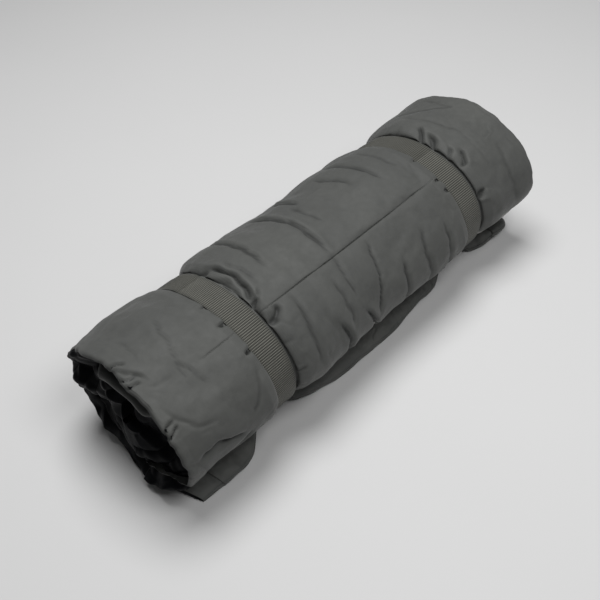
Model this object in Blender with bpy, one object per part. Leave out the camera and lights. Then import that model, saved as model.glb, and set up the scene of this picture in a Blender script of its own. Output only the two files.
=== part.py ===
"""Rolled foam sleeping pad, cinched by two webbing straps with side-release buckles.

Metres, +Z up. X runs along the roll. The pad's free end lies on the floor at the -Y side, and the buckles sit
on the +Y side. The origin is the middle of the footprint, on the floor.
"""

import math

import bmesh
import bpy
import numpy as np
from mathutils import Matrix

# Roll
ROLL_LENGTH = 0.680
HALF_DEPTH = 0.1225
HALF_HEIGHT = 0.0948
TURN_STEPS = (24, 16, 16, 12)
TURNS = 3.75
PITCH_Y = 0.0224
PITCH_Z = 0.01725
AXIS_Z = HALF_HEIGHT * math.cos(2 * math.pi / TURN_STEPS[0])

# Pad
PAD_THICKNESS = 0.015
FABRIC = 0.0008
GAP = 0.0003
END_GAP = 0.0015
TONGUE_STEPS = 3

# Where a strap cinches the roll
STRAP_X = {"near": -0.180, "far": 0.209}
CINCH = 0.907
CINCHED_THICKNESS = 0.01275
CINCHED_TONGUE_ANGLE = math.radians(38)
CINCH_HALF = 0.027
CINCHED_BACK_Y = 0.100

# The angles between which the outermost turn dives behind the free end
TUCK_LOOSE = (math.radians(300), math.radians(352))
TUCK_CINCHED = (math.radians(292), math.radians(320))

# Loose sections: place along the roll, and how far the free end reaches to -Y there
LOOSE = (
    (-0.5 * ROLL_LENGTH + FABRIC + GAP, -0.108),
    (STRAP_X["near"] - 0.055, -0.100),
    (STRAP_X["near"] + 0.055, -0.088),
    (0.020, -0.100),
    (STRAP_X["far"] - 0.057, -0.090),
    (STRAP_X["far"] + 0.053, -0.080),
    (0.5 * ROLL_LENGTH - FABRIC - GAP, -0.104),
)

# Straps
WEB_WIDTH = 0.038
WEB_THICKNESS = 0.0015
WEB_OFFSET = GAP + 0.5 * WEB_THICKNESS
WEB_OVERLAP = WEB_OFFSET + WEB_THICKNESS + GAP
STITCHED_END = 0.078
TAIL_LENGTH = {"near": 0.060, "far": 0.145}

# Buckle, in its own axes: w across the strap, t up along it, n out from the roll
BUCKLE_Y = CINCHED_BACK_Y + 0.0005
BUCKLE_HALF_WIDTH = 0.025
BUCKLE_THICKNESS = 0.012
WALL = 0.002
SOCKET_FLOOR = 0.003
SOCKET_T = (-0.031, 0.002)
SOCKET_FRAME_T = (-0.043, -0.0305)
SOCKET_SLOT_T = (-0.039, -0.032)
CAVITY_HALF_WIDTH = 0.0215
WINDOW_T = (-0.026, -0.014)
FRAME_HALF_WIDTH = 0.024
SLOT_HALF_WIDTH = 0.020
SOCKET_BAR_N = (0.002, 0.0085)
PLUG_BAR_N = (0.003, 0.008)
PLUG_HALF_WIDTH = 0.021
PLUG_BASE_T = (0.0028, 0.0105)
PLUG_BASE_N = (0.0022, 0.0098)
PLUG_FRAME_T = (0.010, 0.034)
PLUG_SLOTS_T = ((0.012, 0.019), (0.023, 0.030))
GUIDE_HALF_WIDTH = 0.004
GUIDE_T = (-0.024, 0.0045)
GUIDE_N = (0.0035, 0.0085)
ARM_N = (0.0027, 0.0093)
SOCKET_BEVEL = 0.0018
PLUG_BEVEL = 0.0012
FRAME_BEVEL = 0.0009
BUCKLE_SMOOTH = math.radians(35)
OVERRUN = 0.002
WEB_CLEARANCE = 0.00065
WEB_SLOT_CLEARANCE = 0.0017
WEB_BEND = 0.0016
WEB_JOIN = 0.050
HINGE_W = 0.018
HINGE_T = 0.002


def clear_scene():
    for obj in list(bpy.data.objects):
        bpy.data.objects.remove(obj, do_unlink=True)


def material(name, colour, roughness, metallic=0.0):
    made = bpy.data.materials.new(name)
    made.use_nodes = True
    shader = made.node_tree.nodes["Principled BSDF"]
    shader.inputs["Base Color"].default_value = (*colour, 1.0)
    shader.inputs["Roughness"].default_value = roughness
    shader.inputs["Metallic"].default_value = metallic
    return made


def add_object(name, mesh, finish, origin=(0.0, 0.0, 0.0), smooth=None):
    """An object whose mesh is given in world space, with its origin where its joint axis is."""
    mesh.transform(Matrix.Translation(origin).inverted())
    obj = bpy.data.objects.new(name, mesh)
    obj.location = origin
    mesh.materials.append(finish)
    if smooth is not None:
        mesh.shade_smooth()
        mesh.set_sharp_from_angle(angle=smooth)
    bpy.context.scene.collection.objects.link(obj)
    return obj


def mesh_from(name, points, faces):
    mesh = bpy.data.meshes.new(name)
    mesh.from_pydata([tuple(p) for p in points], [], [tuple(f) for f in faces])
    shape = bmesh.new()
    shape.from_mesh(mesh)
    bmesh.ops.recalc_face_normals(shape, faces=shape.faces)
    shape.to_mesh(mesh)
    shape.free()
    return mesh


# The roll's sections


def smoothstep(value, low, high):
    t = min(max((value - low) / (high - low), 0.0), 1.0)
    return t * t * (3 - 2 * t)


def spiral_angles():
    """Angles along the pad from the middle of the underside to its inner end, coarser towards the middle."""
    angles = []
    for turn, steps in enumerate(TURN_STEPS):
        angles += [2 * math.pi * (turn + i / steps) for i in range(steps)]
    return [angle for angle in angles if angle < 2 * math.pi * TURNS + 1e-6]


def turns_inward(angle, cinched):
    """How many turns deep the outer face lies. The outermost turn dives only where it meets the free end."""
    turn, within = divmod(angle + 1e-9, 2 * math.pi)
    if turn < 0:
        return 0
    if turn == 0:
        return smoothstep(within, *(TUCK_CINCHED if cinched else TUCK_LOOSE))
    return turn + within / (2 * math.pi)


def spiral_point(angle, cinched):
    """(y, z) of the pad's outer face, from the roll's axis. Angle 0 is the underside; it grows towards +Y."""
    inward = turns_inward(angle, cinched)
    scale = CINCH if cinched else 1.0
    y = scale * (HALF_DEPTH - inward * PITCH_Y) * math.sin(angle)
    z = -scale * (HALF_HEIGHT - inward * PITCH_Z) * math.cos(angle)
    if cinched:
        return min(y, CINCHED_BACK_Y - inward * PITCH_Y * scale), z
    return y, max(z, -AXIS_Z + inward * PITCH_Z)


def tongue_points(cinched, reach):
    """The free end's outer face, from its tip to where it passes under the roll."""
    first = 2 * math.pi / TURN_STEPS[0]
    start = spiral_point(-first, cinched)
    points = [start]
    for i in range(1, TONGUE_STEPS + 1):
        t = i / TONGUE_STEPS
        if cinched:
            points.append(spiral_point(-first - t * (CINCHED_TONGUE_ANGLE - first), True))
        else:
            points.append((start[0] + t * (reach - start[0]), -AXIS_Z))
    return points[::-1]


def outer_face(cinched, reach):
    return np.array(tongue_points(cinched, reach) + [spiral_point(a, cinched) for a in spiral_angles()])


def left_normals(line):
    """Mitred normals on the left of an open line: moving along them keeps the distance to each run."""
    runs = np.diff(line, axis=0)
    runs /= np.linalg.norm(runs, axis=1)[:, None]
    normals = np.stack([-runs[:, 1], runs[:, 0]], axis=1)
    before = np.vstack([normals[:1], normals])
    after = np.vstack([normals, normals[-1:]])
    return (before + after) / (1 + (before * after).sum(axis=1))[:, None]


def inset(line, depth):
    return line + left_normals(line) * depth


class Section:
    """The pad's rolled profile at one place along the roll."""

    def __init__(self, x, cinched, reach):
        self.x = x
        self.thickness = CINCHED_THICKNESS if cinched else PAD_THICKNESS
        self.line = outer_face(cinched, reach)

    def at(self, depth):
        """The profile this deep under the outer face, in world y and z."""
        return inset(self.line, depth) + (0.0, AXIS_Z)


def sections():
    places = [(x, False, reach) for x, reach in LOOSE]
    for x in STRAP_X.values():
        places += [(x - CINCH_HALF, True, None), (x + CINCH_HALF, True, None)]
    return [Section(*place) for place in sorted(places, key=lambda place: place[0])]


# The pad


def slab(name, rows_out, rows_in, finish):
    """A closed sheet between two grids of points, with the same diagonals on both, so none of them cross."""
    rows = len(rows_out)
    columns = len(rows_out[0])
    points = [p for row in rows_out + rows_in for p in row]
    half = rows * columns
    faces = []

    def quad(a, b, c, d):
        faces.extend([(a, b, c), (a, c, d)])

    for i in range(rows - 1):
        for j in range(columns - 1):
            a, b = i * columns + j, (i + 1) * columns + j
            quad(a, b, b + 1, a + 1)
            quad(half + a, half + a + 1, half + b + 1, half + b)
    for i in range(rows - 1):
        for j in (0, columns - 1):
            a, b = i * columns + j, (i + 1) * columns + j
            quad(a, half + a, half + b, b)
    for j in range(columns - 1):
        for i in (0, rows - 1):
            a = i * columns + j
            quad(a, a + 1, half + a + 1, half + a)
    return add_object(name, mesh_from(name, points, faces), finish, smooth=math.radians(40))


def layer(name, profile, depth_out, depth_in, finish):
    """One layer of the pad, between two depths that are functions of the pad's thickness."""
    rows = []
    for depth in (depth_out, depth_in):
        rows.append([[(s.x, y, z) for y, z in s.at(depth(s.thickness))] for s in profile])
    return slab(name, *rows, finish)


def side_wall(name, section, side, finish):
    """The strip that closes the pad's long side, wound with it."""
    xs = (side * 0.5 * ROLL_LENGTH, side * (0.5 * ROLL_LENGTH - FABRIC))
    rows = [[[(x, y, z) for y, z in section.at(d)] for x in xs] for d in (0.0, section.thickness)]
    return slab(name, *rows, finish)


def end_wall(name, profile, end, finish):
    """The strip that closes the pad's free end (end 0) or its inner end (end -1)."""
    rows = []
    for away in (END_GAP, END_GAP + FABRIC):
        grid = []
        for s in profile:
            line = s.at(0.0)
            out = line[end] - line[1 if end == 0 else -2]
            out /= np.linalg.norm(out)
            tips = [s.at(d)[end] + away * out for d in (0.0, s.thickness)]
            grid.append([(s.x, y, z) for y, z in tips])
        rows.append(grid)
    return slab(name, *rows, finish)


def build_pad(face_cloth, side_cloth, foam):
    profile = sections()
    buried = FABRIC + GAP
    layer("outer_face_panel", profile, lambda t: 0.0, lambda t: FABRIC, face_cloth)
    layer("foam_core", profile, lambda t: buried, lambda t: t - buried, foam)
    layer("inner_face_panel", profile, lambda t: t - FABRIC, lambda t: t, face_cloth)
    side_wall("near_side_wall", profile[0], -1, side_cloth)
    side_wall("far_side_wall", profile[-1], 1, side_cloth)
    end_wall("free_end_wall", profile, 0, side_cloth)
    end_wall("inner_end_wall", profile, -1, side_cloth)


# The straps


def convex_hull(points):
    """Corners of the hull, counter-clockwise."""
    ordered = sorted(map(tuple, points))

    def chain(run):
        kept = []
        for p in run:
            while len(kept) > 1:
                (ax, ay), (bx, by) = kept[-2], kept[-1]
                if (bx - ax) * (p[1] - ay) - (by - ay) * (p[0] - ax) > 1e-9:
                    break
                kept.pop()
            kept.append(p)
        return kept[:-1]

    return np.array(chain(ordered) + chain(ordered[::-1]))


class StrapLoop:
    """The taut line round a cinched section, measured counter-clockwise from the middle of the buckle."""

    def __init__(self):
        face = outer_face(True, None)
        lead = face[0] - face[1]
        tip = face[0] + lead / np.linalg.norm(lead) * (END_GAP + FABRIC + GAP)
        corners = convex_hull(np.vstack([tip, face])) + (0.0, AXIS_Z)
        start = np.array([CINCHED_BACK_Y, AXIS_Z])
        turn = np.arctan2(corners[:, 1] - AXIS_Z, corners[:, 0]) % (2 * math.pi)
        corners = corners[np.argsort(turn)]
        corners = corners[~(np.abs(corners - start) < 1e-6).all(axis=1)]
        self.points = np.vstack([start, corners, start])
        steps = np.linalg.norm(np.diff(self.points, axis=0), axis=1)
        self.lengths = np.concatenate([[0.0], np.cumsum(steps)])

    def perimeter(self):
        return self.lengths[-1]

    def run(self, start, end, offset):
        """Points from one length to another, this far outside the loop."""
        inside = [i for i, s in enumerate(self.lengths) if start + 1e-5 < s < end - 1e-5]
        cut = [self.point(start)] + [self.points[i] for i in inside] + [self.point(end)]
        line = np.array(cut)
        return line - left_normals(line) * offset

    def point(self, length):
        return np.array([np.interp(length, self.lengths, self.points[:, i]) for i in (0, 1)])


def buckle_yz(pairs):
    """World (y, z) of points given as (t, n) in the buckle's axes."""
    return [(BUCKLE_Y + n, AXIS_Z + t) for t, n in pairs]


def hook_over_bar(edge, top, side):
    """(t, n) of a band that comes over a bar and turns down into the slot at its edge. side is the slot's."""
    slot = edge + side * WEB_SLOT_CLEARANCE
    high = top + WEB_CLEARANCE + 0.5 * WEB_THICKNESS
    return [(slot - side * WEB_BEND, high), (slot, high - WEB_BEND)]


def strap_path(loop, tail):
    """The webbing's middle line, from its stitched end over both buckle parts to its tail."""
    around = loop.perimeter()
    into_socket = hook_over_bar(SOCKET_SLOT_T[0], SOCKET_BAR_N[1], 1)
    into_plug = hook_over_bar(PLUG_SLOTS_T[0][1], PLUG_BAR_N[1], -1)
    stitched = list(loop.run(around - STITCHED_END, around - WEB_JOIN, WEB_OVERLAP))
    below_bar = (SOCKET_FRAME_T[0] - WEB_BEND, into_socket[0][1])
    socket = buckle_yz([below_bar] + into_socket)
    main = list(loop.run(into_plug[1][0], around + into_socket[1][0], WEB_OFFSET))[::-1]
    above_ladder = (PLUG_FRAME_T[1] + WEB_BEND, into_plug[0][1])
    plug = buckle_yz(into_plug[::-1] + [above_ladder])
    free = list(loop.run(WEB_JOIN, WEB_JOIN + tail, WEB_OVERLAP))
    return np.array(stitched + socket + main + plug + free)


def build_strap(name, x, tail, loop, finish):
    path = strap_path(loop, tail)
    sides = [inset(path, depth) for depth in (-0.5 * WEB_THICKNESS, 0.5 * WEB_THICKNESS)]
    xs = (x - 0.5 * WEB_WIDTH, x + 0.5 * WEB_WIDTH)
    rows = [[[(at, y, z) for y, z in line] for at in xs] for line in sides]
    return slab(name, *rows, finish)


# The buckles


def block_mesh(name, ws, ts, ns, x, bevel=0.0, segments=2):
    """A box in the buckle's axes, with rounded edges."""
    shape = bmesh.new()
    bmesh.ops.create_cube(shape, size=1.0)
    for vert in shape.verts:
        w, n, t = ((0.5 + c) for c in vert.co)
        vert.co = (
            x + ws[0] + w * (ws[1] - ws[0]),
            BUCKLE_Y + ns[0] + n * (ns[1] - ns[0]),
            AXIS_Z + ts[0] + t * (ts[1] - ts[0]),
        )
    if bevel:
        bmesh.ops.bevel(
            shape, geom=shape.edges[:], offset=bevel, segments=segments, profile=0.5, affect="EDGES"
        )
    mesh = bpy.data.meshes.new(name)
    shape.to_mesh(mesh)
    shape.free()
    return mesh


def prism_mesh(name, outline, ns, x):
    """A flat piece cut to an outline of (w, t) points, between two depths n."""
    count = len(outline)
    points = [(x + w, BUCKLE_Y + n, AXIS_Z + t) for n in ns for w, t in outline]
    faces = [tuple(range(count)), tuple(range(2 * count - 1, count - 1, -1))]
    faces += [(i, count + i, count + (i + 1) % count, (i + 1) % count) for i in range(count)]
    return mesh_from(name, points, faces)


def combine(target, other_mesh, operation):
    """Adds a Boolean modifier whose other shape is a hidden helper."""
    name = f"{target.name}_{operation.lower()}_{len(target.modifiers)}"
    helper = bpy.data.objects.new(name, other_mesh)
    helper.hide_render = True
    helper.display_type = "WIRE"
    bpy.context.scene.collection.objects.link(helper)
    modifier = target.modifiers.new(helper.name, "BOOLEAN")
    modifier.operation = operation
    modifier.solver = "EXACT"
    modifier.object = helper


def both(half):
    return (-half, half)


def build_socket(name, x, finish):
    """The female half: a flat box open at the top, with a window in each side and a webbing bar below."""
    body = block_mesh(name, both(BUCKLE_HALF_WIDTH), SOCKET_T, (0.0, BUCKLE_THICKNESS), x, SOCKET_BEVEL)
    socket = add_object(name, body, finish, smooth=BUCKLE_SMOOTH)
    frame = block_mesh("frame", both(FRAME_HALF_WIDTH), SOCKET_FRAME_T, SOCKET_BAR_N, x, FRAME_BEVEL, 1)
    combine(socket, frame, "UNION")
    inner_n = (WALL, BUCKLE_THICKNESS - WALL)
    cavity = (SOCKET_T[0] + SOCKET_FLOOR, SOCKET_T[1] + OVERRUN)
    combine(socket, block_mesh("cavity", both(CAVITY_HALF_WIDTH), cavity, inner_n, x), "DIFFERENCE")
    window = block_mesh("window", both(BUCKLE_HALF_WIDTH + OVERRUN), WINDOW_T, inner_n, x)
    combine(socket, window, "DIFFERENCE")
    slot_n = (-OVERRUN, BUCKLE_THICKNESS + OVERRUN)
    combine(socket, block_mesh("slot", both(SLOT_HALF_WIDTH), SOCKET_SLOT_T, slot_n, x), "DIFFERENCE")
    return socket


def build_plug(name, x, finish):
    """The male half: a base with a middle guide, and the ladder that grips the webbing."""
    base = block_mesh(name, both(PLUG_HALF_WIDTH), PLUG_BASE_T, PLUG_BASE_N, x, PLUG_BEVEL)
    origin = (x, BUCKLE_Y + 0.5 * BUCKLE_THICKNESS, AXIS_Z)
    plug = add_object(name, base, finish, origin=origin, smooth=BUCKLE_SMOOTH)
    frame = block_mesh("frame", both(FRAME_HALF_WIDTH), PLUG_FRAME_T, PLUG_BAR_N, x, FRAME_BEVEL, 1)
    combine(plug, frame, "UNION")
    combine(plug, block_mesh("guide", both(GUIDE_HALF_WIDTH), GUIDE_T, GUIDE_N, x, FRAME_BEVEL), "UNION")
    slot_n = (-OVERRUN, BUCKLE_THICKNESS + OVERRUN)
    for slot_t in PLUG_SLOTS_T:
        slot = block_mesh("slot", both(SLOT_HALF_WIDTH), slot_t, slot_n, x)
        combine(plug, slot, "DIFFERENCE")
    return plug


def build_latch_arm(name, x, side, finish):
    """A spring arm of the plug. Its lug fills the socket's window, and its shoulder holds the buckle shut."""
    outline = [
        (0.0158, HINGE_T),
        (0.0202, HINGE_T),
        (0.0208, -0.0040),
        (0.0208, -0.0147),
        (0.0243, -0.0147),
        (0.0245, -0.0180),
        (0.0228, -0.0225),
        (0.0198, -0.0255),
        (0.0172, -0.0255),
        (0.0160, -0.0200),
    ]
    mirrored = [(side * w, t) for w, t in outline]
    origin = (x + side * HINGE_W, BUCKLE_Y + 0.5 * BUCKLE_THICKNESS, AXIS_Z + HINGE_T)
    mesh = prism_mesh(name, mirrored, ARM_N, x)
    return add_object(name, mesh, finish, origin=origin, smooth=BUCKLE_SMOOTH)


def main():
    clear_scene()
    face_cloth = material("charcoal_cloth", (0.115, 0.118, 0.112), 0.75)
    side_cloth = material("black_cloth", (0.012, 0.012, 0.014), 0.5)
    foam = material("grey_foam", (0.35, 0.35, 0.34), 0.9)
    webbing = material("olive_grey_webbing", (0.12, 0.12, 0.10), 0.8)
    plastic = material("black_plastic", (0.018, 0.018, 0.018), 0.45)
    build_pad(face_cloth, side_cloth, foam)
    loop = StrapLoop()
    for end, x in STRAP_X.items():
        build_strap(f"{end}_strap_webbing", x, TAIL_LENGTH[end], loop, webbing)
        build_socket(f"{end}_buckle_socket", x, plastic)
        build_plug(f"{end}_buckle_plug", x, plastic)
        build_latch_arm(f"{end}_left_latch_arm", x, -1, plastic)
        build_latch_arm(f"{end}_right_latch_arm", x, 1, plastic)


main()
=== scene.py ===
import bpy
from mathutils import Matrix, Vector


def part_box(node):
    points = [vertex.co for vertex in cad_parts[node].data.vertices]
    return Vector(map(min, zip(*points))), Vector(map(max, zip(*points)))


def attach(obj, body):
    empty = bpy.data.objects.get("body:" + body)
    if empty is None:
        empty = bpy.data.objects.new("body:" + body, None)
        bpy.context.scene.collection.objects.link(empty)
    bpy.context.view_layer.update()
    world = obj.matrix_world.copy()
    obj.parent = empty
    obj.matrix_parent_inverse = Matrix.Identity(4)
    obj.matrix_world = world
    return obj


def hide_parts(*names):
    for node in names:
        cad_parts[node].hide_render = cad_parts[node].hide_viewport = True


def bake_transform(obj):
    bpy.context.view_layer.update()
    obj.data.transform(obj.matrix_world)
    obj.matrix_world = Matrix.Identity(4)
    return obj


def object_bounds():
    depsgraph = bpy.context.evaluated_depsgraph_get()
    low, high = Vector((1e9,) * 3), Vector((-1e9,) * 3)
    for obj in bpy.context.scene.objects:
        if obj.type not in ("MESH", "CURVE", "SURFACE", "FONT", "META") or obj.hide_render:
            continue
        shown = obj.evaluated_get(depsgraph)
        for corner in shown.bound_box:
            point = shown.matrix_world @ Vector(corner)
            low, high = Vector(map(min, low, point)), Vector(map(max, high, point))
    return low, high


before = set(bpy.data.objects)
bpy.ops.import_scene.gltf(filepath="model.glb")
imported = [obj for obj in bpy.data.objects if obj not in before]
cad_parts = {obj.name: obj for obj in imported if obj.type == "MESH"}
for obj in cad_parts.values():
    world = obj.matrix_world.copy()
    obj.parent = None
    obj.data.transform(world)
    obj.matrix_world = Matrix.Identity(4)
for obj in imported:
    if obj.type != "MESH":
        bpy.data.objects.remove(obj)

"""Looks of a rolled foam sleeping pad: its cloth cover, crumpled side walls, webbing straps and buckles.

Metres, +Z up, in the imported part's frame. X runs along the roll. An angle round the roll is 0 at the
underside and grows towards +Y, over the top at 180 degrees, and down the -Y side to where the pad's free end
lies. A crease is drawn on the cover in (x, degrees).
"""

from math import cos, pi, radians, sin, sqrt

import bpy
import numpy as np
from mathutils import Matrix, Vector

CAD_LOW, CAD_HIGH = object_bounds()

# Roll, from the frame
HALF_LENGTH = 0.5 * (CAD_HIGH.x - CAD_LOW.x)
HALF_DEPTH = 0.5 * (CAD_HIGH.y - CAD_LOW.y)
REST_ANGLE = radians(15)
HALF_HEIGHT = CAD_HIGH.z / (1 + cos(REST_ANGLE))
AXIS_Z = CAD_HIGH.z - HALF_HEIGHT
ARC = 0.108  # metres of cover for each radian round the roll
FLOOR_GAP = 0.0004

# Straps and buckles, from the frame
ENDS = ("near", "far")
STRAP_X = {e: 0.5 * sum(corner.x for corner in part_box(f"{e}_strap_webbing")) for e in ENDS}
WEB_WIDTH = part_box("near_strap_webbing")[1].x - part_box("near_strap_webbing")[0].x
BUCKLE_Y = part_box("near_buckle_socket")[0].y
PLUG_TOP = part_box("near_buckle_plug")[1].z
SOCKET_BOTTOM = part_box("near_buckle_socket")[0].z

# Webbing: how its layers lie off the band's line, its ribs, its ends, and where it turns at the buckles
WEB_THICKNESS = 0.0015
WEB_OFFSET = 0.00105
WEB_OVERLAP = WEB_OFFSET + WEB_THICKNESS + 0.0003
RIB = 0.0029
RIB_HEIGHT = 0.00022
TAIL_LENGTH = {"near": 0.06, "far": 0.124}
STITCHED_END = (0.05, 0.078)
LADDER_Z = PLUG_TOP - 0.0167
LADDER_FACE = BUCKLE_Y + 0.0094
BAR_Z = SOCKET_BOTTOM + 0.0057
BAR_FACE = BUCKLE_Y + 0.0099
BEND = 0.0016

# How the straps pinch the roll: the band's size and the cover's under it, as shares of the roll's, where the
# pinch fades beside a strap, and how far each side of its groove leans over it
CINCH = 0.907
UNDER_STRAP = 0.902
STRAP_LIFT = 0.0048
PINCH_FRONT = (0.0192, 0.0335)
PINCH_BACK = (0.027, 0.044)
BACK_Y = BUCKLE_Y - 0.0007
BACK_ROOM = 0.04
OVERHANG = {-1: 0.007, 1: 0.005}

# The rolled pad: its turns, and how much each one takes off the half depth and half height
TURNS = 3.75
PITCH = (0.0224, 0.01725)

# The roll's size along x, as a share of the CAD's
SWELL = (
    (-0.345, 0.96), (-0.322, 0.975), (-0.3, 0.992), (-0.268, 1.014), (-0.212, 1.008), (-0.15, 1.008),
    (-0.122, 1.027), (-0.085, 1.014), (-0.026, 0.994), (0.045, 0.98), (0.095, 0.995), (0.15, 1.004),
    (0.18, 0.998), (0.236, 1.004), (0.262, 1.022), (0.3, 1.026), (0.325, 1.028), (0.35, 1.026),
)

# The free end: the y of its tip along x, the hem round the tip, and the y where it is out of sight
REACH = (
    (-0.345, -0.101), (-0.3, -0.104), (-0.27, -0.106), (-0.235, -0.1), (-0.205, -0.083),
    (-0.18, -0.07), (-0.155, -0.071), (-0.12, -0.086), (-0.08, -0.095), (0.0, -0.099),
    (0.055, -0.099), (0.11, -0.092), (0.16, -0.088), (0.19, -0.077), (0.209, -0.07),
    (0.235, -0.073), (0.262, -0.085), (0.295, -0.094), (0.318, -0.1), (0.33, -0.0985),
    (0.338, -0.092), (0.345, -0.082),
)
HEM_RADIUS = 0.0022
UNDER_ROLL = -0.04

# How far each rim stands out past the half length, by degrees round the roll, and the rim's own curve
RIM = {
    -1: ((-15, -0.006), (0, -0.007), (30, -0.012), (60, -0.016), (90, -0.015), (120, -0.01), (150, -0.005),
         (180, -0.001), (210, 0.001), (240, 0.0), (270, 0.0), (300, 0.0), (345, -0.004)),
    1: ((-15, 0.0), (40, 0.002), (100, 0.008), (160, 0.013), (220, 0.012), (280, 0.004), (345, 0.0)),
}
RIM_RADIUS = 0.0052
RIM_TURN = radians(82)

# The outermost turn: its span, its seam, its dive in over the free end, and the fold at its near foot
BODY = (radians(-13), radians(345))
SEAM = radians(209.5)
SEWN = (-0.252, 0.196)
TUCK = (radians(262), radians(341))
TUCK_DEPTH = 0.026
FAR_TUCK = 0.014
FOOT = radians(291)
FOOT_DEPTH = 0.0065

# Cloth settling: frames, spare length along the roll and round it, coarseness, and the loosest hold
SETTLING_FRAMES = 20
SLACK = (0.07, 0.02)
COARSE = 0.7
LOOSEST = 0.01
CLOTH = {
    "quality": 5, "mass": 0.2, "tension_stiffness": 20, "compression_stiffness": 20, "shear_stiffness": 8,
    "bending_stiffness": 0.6, "air_damping": 3, "vertex_group_mass": "hold", "pin_stiffness": 1.0,
    "use_pressure": True, "uniform_pressure_force": 1.0,
}

# Curves and random fields

WAVES = 26


def ramp(value, low, high):
    """0 up to low, 1 from high on, and smooth between them."""
    t = np.clip((value - low) / (high - low), 0.0, 1.0)
    return t * t * (3 - 2 * t)


def smooth_curve(stations, at):
    """A smooth line through (place, value) stations."""
    xs, ys = np.array(stations).T
    slopes = np.gradient(ys, xs)
    i = np.clip(np.searchsorted(xs, at) - 1, 0, len(xs) - 2)
    step = xs[i + 1] - xs[i]
    t = np.clip((at - xs[i]) / step, 0.0, 1.0)
    start = (1 + 2 * t) * (1 - t) ** 2 * ys[i] + t * (1 - t) ** 2 * step * slopes[i]
    return start + t * t * (3 - 2 * t) * ys[i + 1] + t * t * (t - 1) * step * slopes[i + 1]


def ripple(x, s, seed, size_x, size_s):
    """A smooth random field about 1 high, with bumps of about size_x by size_s."""
    random = np.random.default_rng(seed)
    total = np.zeros(np.broadcast(x, s).shape)
    for _ in range(WAVES):
        along, across = random.normal(size=2)
        phase = random.uniform(0, 2 * pi)
        total += np.cos(3.2 * (along * x / size_x + across * s / size_s) + phase)
    return total * sqrt(2 / WAVES)


def blurred(field, times):
    for _ in range(times):
        for axis in (0, 1):
            field = (np.roll(field, 1, axis) + field + np.roll(field, -1, axis)) / 3
    return field


def creased(field, width):
    """Narrow valleys where a random field crosses zero."""
    return -np.exp(-((field / width) ** 2))


def distance_to(path, x, s):
    """Signed distance to an open line, and how far along it (0 to 1) the nearest point is."""
    best = np.full(x.shape, 1e9)
    signed = np.zeros(x.shape)
    along = np.zeros(x.shape)
    runs = np.diff(path, axis=0)
    lengths = np.linalg.norm(runs, axis=1)
    before = np.concatenate([[0.0], np.cumsum(lengths)])
    for (px, ps), (dx, ds), length, start in zip(path, runs, lengths, before):
        t = np.clip(((x - px) * dx + (s - ps) * ds) / length**2, 0.0, 1.0)
        away = np.hypot(x - px - t * dx, s - ps - t * ds)
        side = np.sign((x - px) * ds - (s - ps) * dx)
        closer = away < best
        best = np.where(closer, away, best)
        signed = np.where(closer, away * side, signed)
        along = np.where(closer, (start + t * length) / before[-1], along)
    return signed, along


def lengths_along(line):
    """The length from a line's start to each of its points."""
    return np.concatenate([[0], np.cumsum(np.linalg.norm(np.diff(line, axis=0), axis=1))])


def points_at(line, places, wanted):
    """Points of a line, read between the places that its own points have."""
    return np.stack([np.interp(wanted, places, column) for column in line.T], -1)


def within(places, values, reach):
    """Which places lie within reach of a set of values."""
    return np.flatnonzero((places > values.min() - reach) & (places < values.max() + reach))


def rounded_line(points, times=3):
    """Cuts the corners of an open line, keeping its ends."""
    for _ in range(times):
        cut = np.empty((2 * len(points) - 2, points.shape[1]))
        cut[0::2] = 0.75 * points[:-1] + 0.25 * points[1:]
        cut[1::2] = 0.25 * points[:-1] + 0.75 * points[1:]
        points = np.vstack([points[:1], cut, points[-1:]])
    return points


CREASE_ROUND = 0.0011


class Folds:
    """Adds creases, each a little astray, to a height field over (x along the roll, s round it)."""

    def __init__(self, x, s):
        self.x, self.s = np.broadcast_arrays(x, s)
        self.stray_x = self.x + 0.0008 * ripple(self.x, self.s, 81, 0.022, 0.022)
        self.stray_s = self.s + 0.0012 * ripple(self.x, self.s, 82, 0.022, 0.022)
        self.height = np.zeros(self.x.shape)

    def crease(self, path, width, depth, lip=0.6, taper=0.25):
        """A valley along (x, degrees) points. lip is how high one bank stands, as a share of the depth."""
        line = np.array([(x, radians(a) * ARC) for x, a in path])
        if len(line) > 2:
            line = rounded_line(line, 2)
        reach = 12 * width
        rows = within(self.x[:, 0], line[:, 0], reach)
        columns = within(self.s[0], line[:, 1], reach)
        if not len(rows) or not len(columns):
            return
        part = (slice(rows[0], rows[-1] + 1), slice(columns[0], columns[-1] + 1))
        signed, along = distance_to(line, self.stray_x[part], self.stray_s[part])
        strength = ramp(along, -0.05, taper) * ramp(1 - along, -0.05, taper)
        valley = -np.exp((CREASE_ROUND - np.hypot(signed, CREASE_ROUND)) / (0.8 * width))
        ahead = np.maximum(signed, 0)
        bank = lip * (1 - np.exp(-((ahead / width) ** 2))) * np.exp(-ahead / (4 * width))
        self.height[part] += depth * strength * (valley + bank)


# The shape of the roll


def pinch(x, fade):
    """1 under a strap, falling to 0 beside it."""
    return np.maximum(*(1 - ramp(abs(x - STRAP_X[end]), *fade) for end in ENDS))


def at_buckle(theta):
    """1 at the roll's back, where the buckles lie."""
    return np.exp(-(((theta - 0.5 * pi) / radians(38)) ** 4))


def strap_share(x, theta):
    """How far the straps hold the cover in. The buckles, at the back, hold a wider stretch."""
    back = at_buckle(theta)
    return (1 - back) * pinch(x, PINCH_FRONT) + back * pinch(x, PINCH_BACK)


def back_limit(x):
    """The furthest +Y that the roll reaches: a strap's buckles lie flat against it."""
    return BACK_Y + (1 - pinch(x, PINCH_BACK)) * BACK_ROOM


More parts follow.
